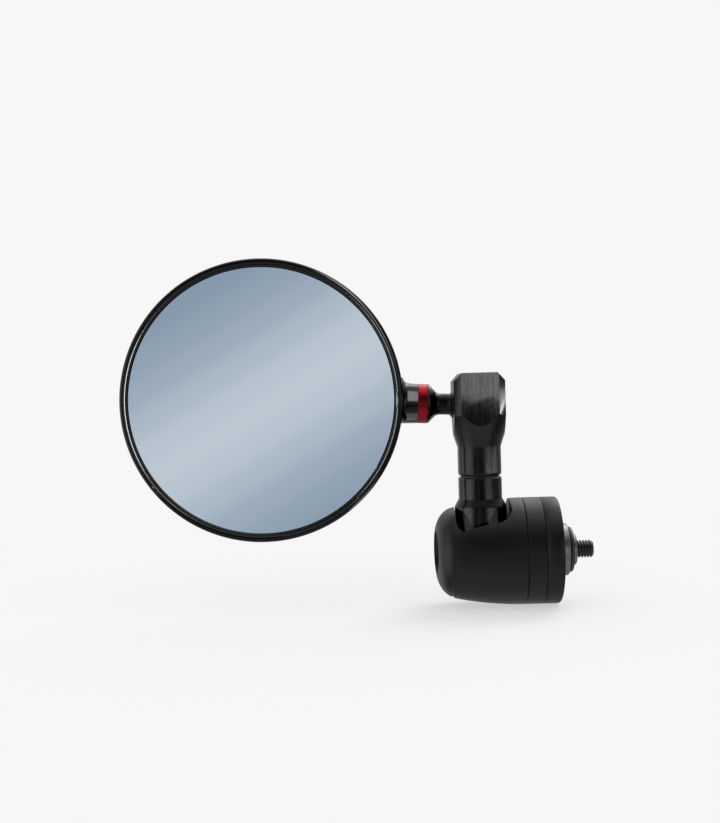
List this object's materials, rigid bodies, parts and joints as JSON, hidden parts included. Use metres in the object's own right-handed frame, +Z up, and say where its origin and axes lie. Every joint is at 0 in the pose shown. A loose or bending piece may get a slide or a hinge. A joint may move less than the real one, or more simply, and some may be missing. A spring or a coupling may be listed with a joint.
{
  "type": "motorcycle bar end mirror",
  "caption": "Round bar end mirror: a domed housing with convex glass on a ball-jointed stem, a swivelling arm with a faceted head, and a turned base with a bolt into the bar.",
  "frame": {"origin": "centre of the bar spigot in the plane where the base seats on the handlebar's end", "axes": "+X along the spigot and the clamp bolt, into the handlebar; +Z up along the arm; the mirror's glass faces -Y"},
  "size_m": [0.1569, 0.0358, 0.1182],
  "materials": {
    "housing_black": "gloss black anodised",
    "mirror_glass": "blue tinted, polished",
    "seal_black": "satin",
    "tape_grey": "foam",
    "accent_red": "satin red anodised",
    "collar_black": "polished black anodised",
    "stud_black": "black oxide, satin",
    "nylon_natural": "moulded",
    "nylon_black": "moulded",
    "arm_black": "brushed black anodised",
    "screw_black": "black oxide",
    "base_black": "matt black anodised",
    "washer_steel": "zinc plated",
    "spigot_silver": "turned, clear anodised",
    "o_ring_black": "satin"
  },
  "bodies": {
    "base": {"base_shell": "base_black", "clamp_ring": "base_black", "end_ring": "base_black", "friction_washer_outer": "nylon_black", "friction_washer_inner": "nylon_black", "clamp_bolt": "screw_black", "bolt_washer": "washer_steel", "bar_spigot": "spigot_silver", "o_ring": "o_ring_black"},
    "lower_arm": {"lower_arm": "arm_black", "swivel_washer": "nylon_black"},
    "upper_arm": {"upper_arm": "arm_black", "front_seat": "nylon_natural", "adjuster_plug": "screw_black", "swivel_screw": "screw_black"},
    "ball_seat": {"rear_seat": "nylon_natural"},
    "stem": {"ball_stud": "stud_black", "stem_collar": "collar_black", "accent_ring": "accent_red"},
    "mirror_head": {"mirror_housing": "housing_black", "mirror_glass": "mirror_glass", "glass_seal": "seal_black", "glass_tape": "tape_grey"}
  },
  "joints": [
    {"name": "arm_tilt", "type": "hinge", "parent": "base", "child": "lower_arm", "pos_m": [-0.0256, 0, 0], "axis": [1, 0, 0], "range_deg": [-15, 15]},
    {"name": "arm_swivel", "type": "hinge", "parent": "lower_arm", "child": "upper_arm", "pos_m": [-0.0256, 0, 0.0258], "axis": [0, 0, 1], "continuous": true},
    {"name": "mirror_swing", "type": "hinge", "parent": "upper_arm", "child": "ball_seat", "pos_m": [-0.0304, 0, 0.0498], "axis": [0, 0, 1], "range_deg": [-10, 10]},
    {"name": "mirror_dip", "type": "hinge", "parent": "ball_seat", "child": "stem", "pos_m": [-0.0304, 0, 0.0498], "axis": [0, 1, 0], "range_deg": [-13, 8]},
    {"name": "mirror_spin", "type": "hinge", "parent": "stem", "child": "mirror_head", "pos_m": [-0.0304, 0, 0.0498], "axis": [-0.9988, 0, 0.0489], "continuous": true}
  ]
}
